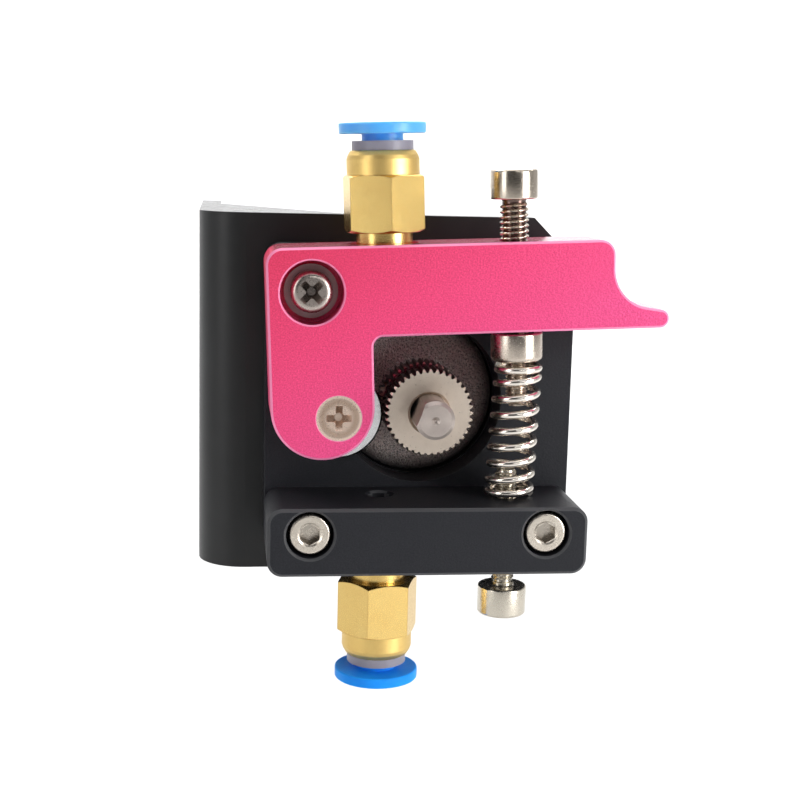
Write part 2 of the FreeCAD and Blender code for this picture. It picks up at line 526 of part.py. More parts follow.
# ---------------------------------------------------------- tube fittings
def fitting(turn):
    """Parts of a push-in fitting on the Z axis; s = 0 at the hex end face."""
    hx = hex_prism_z(FIT_AF, 0, FIT_HEX_L, turn)
    lim = revolve_z([(0, 0), (4.75, 0), (5.85, 0.55), (5.85, FIT_HEX_L - 0.45), (4.95, FIT_HEX_L), (0, FIT_HEX_L)])
    hx = hx.common(lim)
    rr = FIT_ROUND_D / 2
    top = FIT_HEX_L + FIT_ROUND_L
    rd = revolve_z([(0, FIT_HEX_L - 0.5), (rr, FIT_HEX_L - 0.5), (rr, top - 1.1), (rr - 0.16, top - 0.62),
                    (rr - 0.46, top - 0.12), (rr - 0.6, top), (0, top)])
    body = hx.fuse(rd).fuse(cz(0, 0, FIT_COLLAR_D / 2, -FIT_COLLAR_L, 0.5))
    th = cz(0, 0, FIT_THREAD_D / 2, -FIT_COLLAR_L - FIT_THREAD_L, -1.0)
    ed = [e for e in th.Edges if e.Curve.TypeId == "Part::GeomCircle"
          and abs(e.Curve.Center.z + FIT_COLLAR_L + FIT_THREAD_L) < 1e-6]
    body = body.fuse(th.makeChamfer(0.5, ed))
    body = body.cut(cz(0, 0, 1.2, -20, 20)).cut(cz(0, 0, 2.1, 1.2, 20)).cut(cz(0, 0, 3.2, 2.3, 20))
    seal = Part.makeTorus(2.62, 0.54, V(0, 0, 2.9), ZAX)
    claw = cz(0, 0, 3.18, 4.3, 4.6).cut(cz(0, 0, 2.25, 4, 5))
    for i in range(6):
        b = box(0, 2.75, -0.14, 0.14, 4, 5)
        b.rotate(V(0, 0, 0), ZAX, 60 * i + 15)
        claw = claw.cut(b)
    ring = cz(0, 0, 3.18, 4.65, top).fuse(cz(0, 0, FIT_RING_R, top, top + 1.2)).cut(
        cz(0, 0, COLLET_NECK_R + 0.06, 4, 20))
    zd = top + 1.2 + COLLET_GAP
    zt = zd + COLLET_DISC_T
    col = cz(0, 0, COLLET_NECK_R, 5.75, zd + 0.2)
    disc = cz(0, 0, COLLET_DISC_R, zd, zt)
    ed = [e for e in disc.Edges if e.Curve.TypeId == "Part::GeomCircle"]
    disc = disc.makeFillet(0.22, ed)
    col = col.fuse(disc).cut(cz(0, 0, TUBE_R, 0, 20)).cut(conez(0, 0, TUBE_R, TUBE_R + 0.45, zt - 0.4, zt + 0.001))
    for i in range(2):
        b = box(-4, 4, -0.3, 0.3, 5, 8.6)
        b.rotate(V(0, 0, 0), ZAX, 90 * i + 20)
        col = col.cut(b)
    return [("fitting_body", one(body)), ("fitting_seal", seal), ("fitting_claw", one(claw)),
            ("fitting_ring", one(ring)), ("collet", one(col))]


for nm, s in fitting(-85.8):
    s = s.copy()
    s.translate(V(FIT_X, FIL_Y, UP_HEX_Z))
    save(to_rest(s), "upper_" + nm)
for nm, s in fitting(109.1):
    s = s.copy()
    s.rotate(V(0, 0, 0), V(1, 0, 0), 180)
    s.translate(V(LOW_X, FIL_Y, LOW_HEX_Z))
    save(s, "lower_" + nm)

# ------------------------------------------- tension screw and spring seat
HEAD0, HEAD1 = 11.1, 14.95
SEAT_TOP, SEAT_BOT = -6.3, -10.15
ts = cz(TEN_X, SPR_Y, 3.1, HEAD0, HEAD1)
ed = [e for e in ts.Edges if e.Curve.TypeId == "Part::GeomCircle"]
ts = ts.makeFillet(0.3, ed)
ts = ts.fuse(cz(TEN_X, SPR_Y, 1.92, SEAT_TOP - 2.0, HEAD0 + 0.5)).fuse(
    conez(TEN_X, SPR_Y, 1.3, 1.92, SEAT_TOP - 2.5, SEAT_TOP - 2.0))
ts = ts.cut(hex_prism_z(3.0, HEAD1 - 2.0, HEAD1 + 1, 12, TEN_X, SPR_Y))
save(to_rest(one(ts)), "tension_screw")
st = cz(SEAT_X, SPR_Y, 3.45, SEAT_BOT, SEAT_TOP)
ed = [e for e in st.Edges if e.Curve.TypeId == "Part::GeomCircle" and abs(e.Curve.Center.z - SEAT_BOT) < 1e-6]
st = st.makeFillet(0.7, ed)
ed = [e for e in st.Edges if e.Curve.TypeId == "Part::GeomCircle" and abs(e.Curve.Center.z - SEAT_TOP) < 1e-6]
st = st.makeFillet(0.2, ed)
pin = cz(SEAT_X, SPR_Y, 1.5, SEAT_BOT - SEAT_PIN_L, SEAT_BOT + 0.5)
ed = [e for e in pin.Edges if e.Curve.TypeId == "Part::GeomCircle"
      and abs(e.Curve.Center.z - SEAT_BOT + SEAT_PIN_L) < 1e-6]
pin = pin.makeChamfer(0.5, ed)
st = st.fuse(pin).cut(cz(SEAT_X, SPR_Y, 2.4, SEAT_TOP - 2.5, SEAT_TOP + 1))
save(to_rest(one(st)), "spring_seat")

# guide screw from below through the bar
gs = cz(GUIDE_X, SPR_Y, 3.28, -28.15, -24.2)
ed = [e for e in gs.Edges if e.Curve.TypeId == "Part::GeomCircle"]
gs = gs.makeFillet(0.3, ed)
gs = gs.fuse(cz(GUIDE_X, SPR_Y, GUIDE_R, -24.6, -8.4)).fuse(conez(GUIDE_X, SPR_Y, GUIDE_R, 1.15, -8.4, -8.0))
gs = gs.cut(hex_prism_z(3.0, -29, -26.1, 5, GUIDE_X, SPR_Y))
save(one(gs), "guide_screw")

# -------------------------------------------------------- compression spring
sx_, sz_ = rest_point(SEAT_X, SEAT_BOT)
Z0, Z1 = BAR_TOP + WIRE_R + 0.06, sz_ - WIRE_R - 0.06
STEPS = 14
NP = int(SPR_TURNS * STEPS)


def smooth(a):
    a = max(0.0, min(1.0, a))
    return a * a * (3 - 2 * a)


rates = []
for i in range(NP):
    tt = (i + 0.5) / STEPS
    rates.append(0.55 + 1.72 * smooth((tt - 0.25) / 1.2) * smooth((SPR_TURNS - 0.5 - tt) / 1.3))
tot = sum(rates) / STEPS
zz = [0.0]
for r in rates:
    zz.append(zz[-1] + r / STEPS / tot)
pts = []
for i in range(NP + 1):
    a = 2 * math.pi * i / STEPS
    u = zz[i]
    xc = 11.5 + (12.25 - 11.5) * u
    rm = 2.9 + (2.72 - 2.9) * u
    pts.append(V(xc + rm * math.cos(a), SPR_Y + rm * math.sin(a), Z0 + (Z1 - Z0) * u))
bs_ = Part.BSplineCurve()
bs_.interpolate(pts)
path = Part.Wire([bs_.toShape()])
t0 = bs_.tangent(bs_.FirstParameter)[0]
prof = Part.Wire([Part.Circle(pts[0], t0, WIRE_R).toShape()])
spring = path.makePipeShell([prof], True, True)
if spring.ShapeType != "Solid":
    spring = spring.Solids[0]
if spring.Volume < 0:
    spring.reverse()
save(spring, "compression_spring")
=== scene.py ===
import bpy
import bmesh
import math
from mathutils import Matrix, Vector


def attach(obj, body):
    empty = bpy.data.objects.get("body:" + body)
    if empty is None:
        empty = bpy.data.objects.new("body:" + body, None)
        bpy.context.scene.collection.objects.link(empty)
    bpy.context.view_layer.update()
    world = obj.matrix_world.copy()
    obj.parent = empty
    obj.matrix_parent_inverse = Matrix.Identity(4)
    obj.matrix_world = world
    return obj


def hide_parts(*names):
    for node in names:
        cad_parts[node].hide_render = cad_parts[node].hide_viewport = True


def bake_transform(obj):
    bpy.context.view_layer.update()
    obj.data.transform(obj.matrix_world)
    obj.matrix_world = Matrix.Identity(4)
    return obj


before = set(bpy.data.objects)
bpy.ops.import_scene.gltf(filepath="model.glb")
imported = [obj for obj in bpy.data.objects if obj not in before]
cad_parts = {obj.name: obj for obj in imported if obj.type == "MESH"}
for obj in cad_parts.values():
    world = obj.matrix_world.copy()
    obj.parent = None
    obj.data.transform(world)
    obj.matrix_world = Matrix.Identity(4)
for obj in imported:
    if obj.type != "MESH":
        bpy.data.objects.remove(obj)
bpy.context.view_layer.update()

MM = 0.001
OX, OY = -30.0, 35.0          # the row frame's origin, seen from the motor axis
TILT = math.radians(2.4)      # rest angle of the idler arm
PX, PZ = -15.5, 15.5          # arm pivot


def W(x, y, z):
    """Point given from the motor axis in mm, as a point of the row frame in metres."""
    return Vector(((x - OX) * MM, (y - OY) * MM, z * MM))


def A(x, y, z):
    """Point given on the arm, drawn square about its pivot, as a point of the row frame."""
    c, s = math.cos(TILT), math.sin(TILT)
    return W(PX + x * c - z * s, y, PZ + x * s + z * c)


# ============================================================== node helpers
class Mat:
    def __init__(self, name):
        self.m = bpy.data.materials.new(name)
        self.m.use_nodes = True
        self.t = self.m.node_tree
        for n in list(self.t.nodes):
            self.t.nodes.remove(n)
        self.out = self.t.nodes.new("ShaderNodeOutputMaterial")
        self.b = self.t.nodes.new("ShaderNodeBsdfPrincipled")
        self.t.links.new(self.b.outputs[0], self.out.inputs[0])
        tc = self.t.nodes.new("ShaderNodeTexCoord")
        mp = self.t.nodes.new("ShaderNodeMapping")
        mp.inputs["Scale"].default_value = (1000, 1000, 1000)
        self.t.links.new(tc.outputs["Object"], mp.inputs["Vector"])
        self.co = mp.outputs["Vector"]      # millimetres

    def node(self, kind, **kw):
        n = self.t.nodes.new(kind)
        for k, v in kw.items():
            setattr(n, k, v)
        return n

    def link(self, a, b):
        self.t.links.new(a, b)

    def val(self, socket, v):
        if isinstance(v, (int, float, tuple, list)):
            socket.default_value = v
        else:
            self.link(v, socket)

    def mapped(self, scale=(1, 1, 1), loc=(0, 0, 0), rot=(0, 0, 0)):
        n = self.node("ShaderNodeMapping")
        n.inputs["Scale"].default_value = scale
        n.inputs["Location"].default_value = loc
        n.inputs["Rotation"].default_value = rot
        self.link(self.co, n.inputs["Vector"])
        return n.outputs["Vector"]

    def noise(self, scale, detail=2.0, rough=0.5, vec=None, dist=0.0):
        n = self.node("ShaderNodeTexNoise")
        n.inputs["Scale"].default_value = scale
        n.inputs["Detail"].default_value = detail
        n.inputs["Roughness"].default_value = rough
        n.inputs["Distortion"].default_value = dist
        self.link(vec if vec is not None else self.co, n.inputs["Vector"])
        return n.outputs["Fac"]

    def voronoi(self, scale, vec=None, feature="F1"):
        n = self.node("ShaderNodeTexVoronoi", feature=feature)
        n.inputs["Scale"].default_value = scale
        self.link(vec if vec is not None else self.co, n.inputs["Vector"])
        return n.outputs["Distance"]

    def ramp(self, fac, stops):
        n = self.node("ShaderNodeValToRGB")
        e = n.color_ramp.elements
        while len(e) < len(stops):
            e.new(0.5)
        for k, (p, c) in enumerate(stops):
            e[k].position = p
            e[k].color = (c[0], c[1], c[2], 1.0) if isinstance(c, (tuple, list)) else (c, c, c, 1.0)
        self.link(fac, n.inputs["Fac"])
        return n.outputs["Color"]

    def math(self, op, a, b=None, c=None, clamp=False):
        n = self.node("ShaderNodeMath", operation=op, use_clamp=clamp)
        for i, v in enumerate((a, b, c)):
            if v is not None:
                self.val(n.inputs[i], v)
        return n.outputs[0]

    def maprange(self, v, a0, a1, b0, b1):
        n = self.node("ShaderNodeMapRange")
        for i, x in enumerate((v, a0, a1, b0, b1)):
            self.val(n.inputs[i], x)
        return n.outputs[0]

    def mix(self, fac, a, b, blend="MIX"):
        n = self.node("ShaderNodeMix", data_type="RGBA", blend_type=blend)
        self.val(n.inputs[0], fac)
        for i, v in ((6, a), (7, b)):
            if isinstance(v, (tuple, list)):
                n.inputs[i].default_value = (v[0], v[1], v[2], 1.0)
            else:
                self.link(v, n.inputs[i])
        return n.outputs[2]

    def bump(self, height, strength=0.3, distance=0.05, normal=None):
        n = self.node("ShaderNodeBump")
        n.inputs["Strength"].default_value = strength
        n.inputs["Distance"].default_value = distance * MM
        self.link(height, n.inputs["Height"])
        if normal is not None:
            self.link(normal, n.inputs["Normal"])
        return n.outputs["Normal"]

    def radius(self, cx, cz, cy=None, axis="Y"):
        """Distance in mm from a line along Y (or Z) through a point of the row frame."""
        s = self.node("ShaderNodeSeparateXYZ")
        self.link(self.co, s.inputs[0])
        a = self.math("SUBTRACT", s.outputs[0], cx)
        b = self.math("SUBTRACT", s.outputs[2] if axis == "Y" else s.outputs[1], cz)
        return self.math("SQRT", self.math("ADD", self.math("MULTIPLY", a, a), self.math("MULTIPLY", b, b)))

    def edge(self, r=0.25, samples=4):
        """0 on open faces, 1 on sharp edges."""
        bv = self.node("ShaderNodeBevel", samples=samples)
        bv.inputs["Radius"].default_value = r * MM
        g = self.node("ShaderNodeNewGeometry")
        d = self.node("ShaderNodeVectorMath", operation="DOT_PRODUCT")
        self.link(bv.outputs[0], d.inputs[0])
        self.link(g.outputs["Normal"], d.inputs[1])
        return self.maprange(d.outputs["Value"], 0.98, 0.80, 0.0, 1.0)

    def tilted(self, lo=0.55, hi=0.88):
        """1 on narrow faces that stand at about 45 degrees to the front: chamfers and countersinks."""
        tc = self.node("ShaderNodeTexCoord")
        s = self.node("ShaderNodeSeparateXYZ")
        self.link(tc.outputs["Normal"], s.inputs[0])
        a = self.math("ABSOLUTE", s.outputs[1])
        return self.math("MULTIPLY", self.math("GREATER_THAN", a, lo), self.math("LESS_THAN", a, hi))

    def set(self, **kw):
        names = {"color": "Base Color", "metal": "Metallic", "rough": "Roughness", "normal": "Normal",
                 "coat": "Coat Weight", "coat_rough": "Coat Roughness", "ior": "IOR", "trans": "Transmission Weight",
                 "sss": "Subsurface Weight", "sss_r": "Subsurface Radius", "sss_s": "Subsurface Scale",
                 "spec": "Specular IOR Level", "aniso": "Anisotropic", "aniso_rot": "Anisotropic Rotation",
                 "sheen": "Sheen Weight", "tint": "Specular Tint"}
        for k, v in kw.items():
            s = self.b.inputs[names[k]]
            if isinstance(v, (tuple, list)) and s.type == "RGBA":
                s.default_value = (v[0], v[1], v[2], 1.0)
            else:
                self.val(s, v)
        return self


# ================================================================= materials
def anodised(name, base, dark, light, metal, rough, grain=7.0, bump=0.25, sparkle=0.5, rim=None, rim_mix=0.0, spec=0.5,
             painted_light_gradient=None, top=None):
    """Bead-blasted and dyed aluminium: fine even grain, edges slightly brighter as a painted highlight."""
    m = Mat(name)
    g1 = m.noise(grain, 3.0, 0.65)
    g2 = m.noise(grain * 2.6, 2.0, 0.6)
    big = m.noise(0.09, 2.0, 0.5)
    cells = m.voronoi(grain * 0.55)
    c = m.mix(m.maprange(g1, 0.30, 0.70, 0.0, 1.0), dark, light)
    c = m.mix(m.maprange(big, 0.3, 0.7, 0.0, 0.35), c, base)
    # painted light and shade: colour multiplied by a gradient across the part, warmer and darker at the upper left,
    # lighter and bluer at the lower right
    if painted_light_gradient:
        s = m.node("ShaderNodeSeparateXYZ")
        m.link(m.co, s.inputs[0])
        t = m.math("ADD", m.math("MULTIPLY", m.math("SUBTRACT", s.outputs[0], 11.4), 0.0209),
                   m.math("MULTIPLY", m.math("SUBTRACT", 20.0, s.outputs[2]), 0.0393))
        c = m.mix(1.0, c, m.ramp(m.maprange(t, 0.0, 1.1, 0.0, 1.0), painted_light_gradient), blend="MULTIPLY")
    spark = m.ramp(g2, [(0.0, 0.0), (0.60, 0.0), (0.74, 1.0), (1.0, 1.0)])
    c = m.mix(m.math("MULTIPLY", spark, sparkle), c, tuple(min(1.0, v * 1.35 + 0.02) for v in light))
    # painted highlight: sharp edges lightened toward a brighter tone
    e = m.edge(0.18)
    c = m.mix(m.math("MULTIPLY", e, 0.35), c, tuple(min(1.0, v * 1.2 + 0.05) for v in light))
    # painted highlight: chamfers and countersinks mixed toward the rim colour
    if rim is not None:
        c = m.mix(m.math("MULTIPLY", m.tilted(), rim_mix), c, rim)
    # painted reflection: up-facing faces darkened by the top colour, standing in for the dark bracket mirrored in them;
    # the coat on them is a real gloss
    if top is not None:
        g = m.node("ShaderNodeNewGeometry")
        gs = m.node("ShaderNodeSeparateXYZ")
        m.link(g.outputs["Normal"], gs.inputs[0])
        up = m.maprange(gs.outputs[2], 0.75, 0.95, 0.0, 1.0)
        c = m.mix(up, c, m.mix(1.0, c, top, blend="MULTIPLY"))
        m.set(coat=m.math("MULTIPLY", up, 0.86), coat_rough=0.12)
    h = m.math("ADD", m.math("MULTIPLY", g1, 0.6), m.math("MULTIPLY", cells, 0.8))
    h = m.math("ADD", h, m.math("MULTIPLY", g2, 0.35))
    r = m.maprange(g1, 0.3, 0.7, rough - 0.05, rough + 0.07)
    m.set(color=c, metal=metal, rough=r, normal=m.bump(h, bump, 0.045), spec=spec)
    return m.m


def powder_coat(name, base, rough, top_sheen_above=None):
    m = Mat(name)
    peel = m.noise(2.2, 2.0, 0.45)
    fine = m.noise(9.0, 2.0, 0.5)
    big = m.noise(0.12, 3.0, 0.55)
    c = m.mix(m.maprange(big, 0.3, 0.7, 0.0, 1.0), tuple(v * 0.8 for v in base), tuple(v * 1.25 for v in base))
    e = m.edge(0.22)
    wear_and_shade = m.math("MULTIPLY", e, m.maprange(m.noise(1.3, 4.0, 0.6), 0.45, 0.75, 0.0, 0.45))
    c = m.mix(wear_and_shade, c, (0.16, 0.16, 0.165))
    dust = m.ramp(m.noise(3.5, 6.0, 0.75), [(0.0, 0.0), (0.66, 0.0), (0.80, 1.0), (1.0, 1.0)])
    c = m.mix(m.math("MULTIPLY", dust, 0.10), c, (0.35, 0.34, 0.33))
    # painted sheen: up-facing faces above this height lightened in streaks, standing in for the grazing reflection of
    # the bright backdrop; the coat on them is a real gloss
    if top_sheen_above is not None:
        g = m.node("ShaderNodeNewGeometry")
        gs = m.node("ShaderNodeSeparateXYZ")
        m.link(g.outputs["Normal"], gs.inputs[0])
        ps = m.node("ShaderNodeSeparateXYZ")
        m.link(m.co, ps.inputs[0])
        up = m.math("MULTIPLY", m.math("GREATER_THAN", gs.outputs[2], 0.8), m.math("GREATER_THAN", ps.outputs[2], top_sheen_above))
        cut = m.noise(0.9, 5.0, 0.65, vec=m.mapped((0.5, 1.6, 1.0)))
        c = m.mix(m.math("MULTIPLY", up, m.maprange(cut, 0.40, 0.70, 0.05, 0.5)), c, (0.07, 0.07, 0.07))
        m.set(coat=m.math("MULTIPLY", up, m.maprange(cut, 0.38, 0.60, 0.30, 0.72)), coat_rough=m.maprange(cut, 0.38, 0.62, 0.32, 0.12))
    h = m.math("ADD", m.math("MULTIPLY", peel, 1.0), m.math("MULTIPLY", fine, 0.25))
    m.set(color=c, metal=0.0, rough=m.maprange(fine, 0.3, 0.7, rough - 0.04, rough + 0.06), spec=0.38,
          normal=m.bump(h, 0.30, 0.03))
    return m.m


def metal(name, base, rough, scratch=0.35, blotch=0.15, stretch=(1, 1, 1), grain=3.0, edge=0.3, tarnish=None, spots=None, root=None, recess_shade_depth=0.85, face=None):
    """Plated or machined metal: soft blotches, fine marks along one direction, edges brighter as a painted highlight.
    """
    m = Mat(name)
    lines = m.noise(grain, 5.0, 0.7, vec=m.mapped(stretch))
    big = m.noise(0.35, 3.0, 0.55)
    c = m.mix(m.maprange(big, 0.3, 0.7, 0.0, blotch), base, tuple(v * 0.72 for v in base))
    c = m.mix(m.maprange(lines, 0.35, 0.75, 0.0, 0.20), c, tuple(v * 0.80 for v in base))
    if tarnish is not None:
        t = m.ramp(m.noise(0.8, 5.0, 0.65), [(0.0, 0.0), (0.48, 0.0), (0.75, 1.0), (1.0, 1.0)])
        c = m.mix(m.math("MULTIPLY", t, 0.35), c, tarnish)
    # painted reflection on a screw face: a darker brown ring, with a lighter centre and rim as painted highlight
    if face is not None:
        fx, fz, fr, wear_and_shade = face
        d = m.math("DIVIDE", m.radius(fx, fz), fr)
        c = m.mix(m.ramp(d, [(0.0, 0.0), (0.52, 0.0), (0.70, 0.75), (0.80, 0.5), (0.88, 0.0), (1.0, 0.0)]), c, wear_and_shade)
        c = m.mix(m.ramp(d, [(0.0, 0.45), (0.50, 0.30), (0.62, 0.0), (0.84, 0.0), (0.90, 0.8), (1.0, 0.8)]), c,
                  tuple(min(1.0, v * 1.35 + 0.04) for v in base))
    # painted highlight: sharp edges lightened
    e = m.edge(0.12)
    c = m.mix(m.math("MULTIPLY", e, edge), c, tuple(min(1.0, v * 1.12 + 0.03) for v in base))
    # painted shade: driver recesses darkened
    if spots:
        c = recess_shade(m, c, spots, (0.06, 0.045, 0.04), recess_shade_depth)
    # painted shade: dark reddish ring on the thread where it enters the arm
    if root is not None:
        foot, lean, r0, r1 = root
        s = m.node("ShaderNodeSeparateXYZ")
        m.link(m.co, s.inputs[0])
        off = m.math("MULTIPLY", m.math("SUBTRACT", s.outputs[2], foot.z), lean)
        dx = m.math("ADD", m.math("SUBTRACT", s.outputs[0], foot.x), off)
        dy = m.math("SUBTRACT", s.outputs[1], foot.y)
        d = m.math("SQRT", m.math("ADD", m.math("MULTIPLY", dx, dx), m.math("MULTIPLY", dy, dy)))
        c = m.mix(m.maprange(d, r0, r1, 0.9, 0.0), c, (0.10, 0.05, 0.045))
    r = m.math("ADD", m.maprange(lines, 0.3, 0.7, rough - 0.05, rough + 0.08), m.maprange(big, 0.3, 0.7, -0.03, 0.04))
    m.set(color=c, metal=1.0, rough=r, normal=m.bump(lines, scratch, 0.006))
    return m.m


def recess_shade(m, c, spots, dark, depth=0.85):
    """Painted shade in the driver recesses: spots are (x, z, radius, y from) in mm of the row frame."""
    s = m.node("ShaderNodeSeparateXYZ")
    m.link(m.co, s.inputs[0])
    for x, z, r, y in spots:
        d = m.radius(x, z)
        inside = m.math("MULTIPLY", m.math("LESS_THAN", d, r), m.maprange(s.outputs[1], y, y + 0.5, 0.0, 1.0))
        c = m.mix(m.math("MULTIPLY", inside, depth), c, dark)
    return c


def turned(name, base, rough, cx, cz, axis="Y", pitch=0.11, depth=0.006, strength=0.5, tarnish=None, blotch=0.15,
           flank_shade_radius=None):
    """Metal turned on a lathe: concentric tool marks about the piece's own axis."""
    m = Mat(name)
    r0 = m.radius(cx, cz, axis=axis)
    wob = m.noise(0.9, 2.0, 0.5)
    ph = m.math("MULTIPLY", m.math("ADD", r0, m.math("MULTIPLY", wob, 0.05)), 2 * math.pi / pitch)
    rings = m.math("SINE", ph)
    s = m.node("ShaderNodeSeparateXYZ")
    m.link(m.co, s.inputs[0])
    along = m.math("SINE", m.math("MULTIPLY", s.outputs[1 if axis == "Y" else 2], 2 * math.pi / (pitch * 1.15)))
    g = m.node("ShaderNodeNewGeometry")
    gs = m.node("ShaderNodeSeparateXYZ")
    m.link(g.outputs["Normal"], gs.inputs[0])
    facing = m.math("ABSOLUTE", gs.outputs[1 if axis == "Y" else 2])
    n = m.node("ShaderNodeMix", data_type="FLOAT")
    m.link(facing, n.inputs[0])
    m.link(along, n.inputs[2])
    m.link(rings, n.inputs[3])
    lines = n.outputs[0]
    fine = m.noise(5.0, 4.0, 0.6)
    big = m.noise(0.5, 3.0, 0.6)
    c = m.mix(m.maprange(big, 0.3, 0.7, 0.0, blotch), base, tuple(v * 0.70 for v in base))
    c = m.mix(m.maprange(lines, -1.0, 1.0, 0.0, 0.14), c, tuple(v * 0.75 for v in base))
    if tarnish is not None:
        t = m.ramp(m.noise(0.7, 5.0, 0.65), [(0.0, 0.0), (0.46, 0.0), (0.78, 1.0), (1.0, 1.0)])
        c = m.mix(m.math("MULTIPLY", t, 0.28), c, tarnish)
    # painted highlight: sharp edges lightened
    e = m.edge(0.12)
    c = m.mix(m.math("MULTIPLY", e, 0.35), c, tuple(min(1.0, v * 1.12 + 0.03) for v in base))
    # painted shade: side faces beyond this radius darkened, standing in for the arm's shadow on the gear teeth
    if flank_shade_radius is not None:
        side = m.math("MULTIPLY", m.math("GREATER_THAN", r0, flank_shade_radius), m.math("LESS_THAN", facing, 0.7))
        c = m.mix(m.math("MULTIPLY", side, 0.88), c, (0.06, 0.045, 0.04))
    h = m.math("ADD", lines, m.math("MULTIPLY", fine, 0.08))
    m.set(color=c, metal=1.0, rough=m.maprange(fine, 0.3, 0.7, rough - 0.05, rough + 0.08),
          normal=m.bump(h, strength, depth))
    return m.m


def brass(name, light_gain, z_round, side):
    """Machined brass: clean faces, faint lines along the bar, darker brown along the edges, oxide in the groove; the
    gain makes lit and shaded copies of one brass as painted light and shade.
    """
    base = tuple(v * light_gain for v in (0.86, 0.615, 0.22))
    m = Mat(name)
    draw = m.noise(1.0, 4.0, 0.6, vec=m.mapped((7.0, 7.0, 0.35)))
    big = m.noise(0.30, 3.0, 0.55)
    fine = m.noise(9.0, 3.0, 0.6)
    c = m.mix(m.maprange(big, 0.3, 0.7, 0.0, 0.35), base, tuple(v * light_gain for v in (0.78, 0.51, 0.16)))
    c = m.mix(m.maprange(draw, 0.35, 0.75, 0.0, 0.16), c, (0.60, 0.38, 0.12))
    t = m.ramp(m.noise(0.8, 5.0, 0.65), [(0.0, 0.0), (0.55, 0.0), (0.80, 1.0), (1.0, 1.0)])
    c = m.mix(m.math("MULTIPLY", t, 0.30), c, (0.55, 0.31, 0.10))
    c = m.mix(m.math("MULTIPLY", m.edge(0.28), 0.75), c, (0.36, 0.19, 0.055))
    s = m.node("ShaderNodeSeparateXYZ")
    m.link(m.co, s.inputs[0])
    turned_end = m.math("GREATER_THAN", m.math("MULTIPLY", s.outputs[2], side), z_round * side)
    r = m.math("ADD", m.maprange(fine, 0.3, 0.7, 0.25, 0.28), m.math("MULTIPLY", turned_end, 0.15))
    m.set(color=c, metal=1.0, rough=r, normal=m.bump(draw, 0.05, 0.003))
    return m.m


def plastic(name, base, rough, sss=0.0, trans=0.0, grain=4.0, bump=0.12, coat=0.0, spec=0.5):
    m = Mat(name)
    g1 = m.noise(grain, 3.0, 0.55)
    big = m.noise(0.5, 2.0, 0.5)
    c = m.mix(m.maprange(big, 0.3, 0.7, 0.0, 1.0), tuple(v * 0.93 for v in base), tuple(min(1.0, v * 1.05) for v in base))
    dust = m.ramp(m.noise(5.5, 5.0, 0.7), [(0.0, 0.0), (0.70, 0.0), (0.82, 1.0), (1.0, 1.0)])
    c = m.mix(m.math("MULTIPLY", dust, 0.03), c, (0.8, 0.8, 0.8))
    m.set(color=c, rough=m.maprange(g1, 0.3, 0.7, rough - 0.04, rough + 0.06), normal=m.bump(g1, bump, 0.02), coat=coat, spec=spec)
    if sss:
        m.set(sss=sss, sss_s=0.0015, sss_r=(0.6, 0.9, 1.4))
    if trans:
        m.set(trans=trans, ior=1.49)
    return m.m


def cast(name, base, rough, scale=1.6, bump=0.8, depth=0.12, low=0.62, high=1.30, speck=None, ring=None, dirt=0.6,
         outer=(0.42, 0.41, 0.405)):
    """Sand-textured casting."""
    m = Mat(name)
    a = m.noise(scale, 5.0, 0.7)
    b = m.voronoi(scale * 2.3)
    f = m.noise(scale * 5, 3.0, 0.6)
    c = m.mix(m.maprange(a, 0.3, 0.7, 0.0, 1.0), tuple(v * low for v in base), tuple(min(1.0, v * high) for v in base))
    if ring is not None:
        d = m.radius(ring[0], ring[1])
        c = m.mix(m.math("GREATER_THAN", d, 11.2), c, outer)
    if speck:
        grit = m.noise(speck, 2.0, 0.75)
        c = m.mix(m.maprange(grit, 0.38, 0.50, dirt, 0.0), c, tuple(v * 0.12 for v in base))
        c = m.mix(m.maprange(grit, 0.58, 0.68, 0.0, 0.7), c, tuple(min(1.0, v * 1.5) for v in base))
    # painted highlight: sharp edges lightened
    c = m.mix(m.math("MULTIPLY", m.edge(0.2), 0.4), c, tuple(min(1.0, v * 2.0) for v in base))
    # painted shade: boss darkened toward the edge of the opening in front of it
    if ring is not None:
        opening_shade = m.math("MULTIPLY", m.maprange(d, ring[2], ring[3], 0.0, 1.0), m.math("LESS_THAN", d, 11.2))
        c = m.mix(m.math("MULTIPLY", opening_shade, 0.88), c, (0.02, 0.018, 0.018))
    h = m.math("ADD", m.math("MULTIPLY", a, 1.0), m.math("ADD", m.math("MULTIPLY", b, 0.6), m.math("MULTIPLY", f, 0.3)))
    m.set(color=c, metal=0.0, rough=m.maprange(f, 0.3, 0.7, rough - 0.08, rough + 0.1), normal=m.bump(h, bump, depth), spec=0.6)
    return m.m


def laminated(name):
    m = Mat(name)
    s = m.node("ShaderNodeSeparateXYZ")
    m.link(m.co, s.inputs[0])
    y = m.math("MULTIPLY", s.outputs[1], 2.0)
    saw = m.math("PINGPONG", y, 0.5)
    sheet = m.noise(1.0, 0.0, 0.0, vec=m.mapped((0.02, 1.9, 0.02)))
    c = m.mix(m.maprange(sheet, 0.35, 0.65, 0.0, 1.0), (0.014, 0.014, 0.016), (0.05, 0.05, 0.054))
    scr = m.noise(3.0, 4.0, 0.6, vec=m.mapped((0.25, 4.0, 0.25)))
    c = m.mix(m.maprange(scr, 0.55, 0.8, 0.0, 0.5), c, (0.11, 0.11, 0.115))
    m.set(color=c, metal=0.5, rough=m.maprange(scr, 0.3, 0.7, 0.34, 0.5), normal=m.bump(m.math("ADD", saw, scr), 0.25, 0.02))
    return m.m


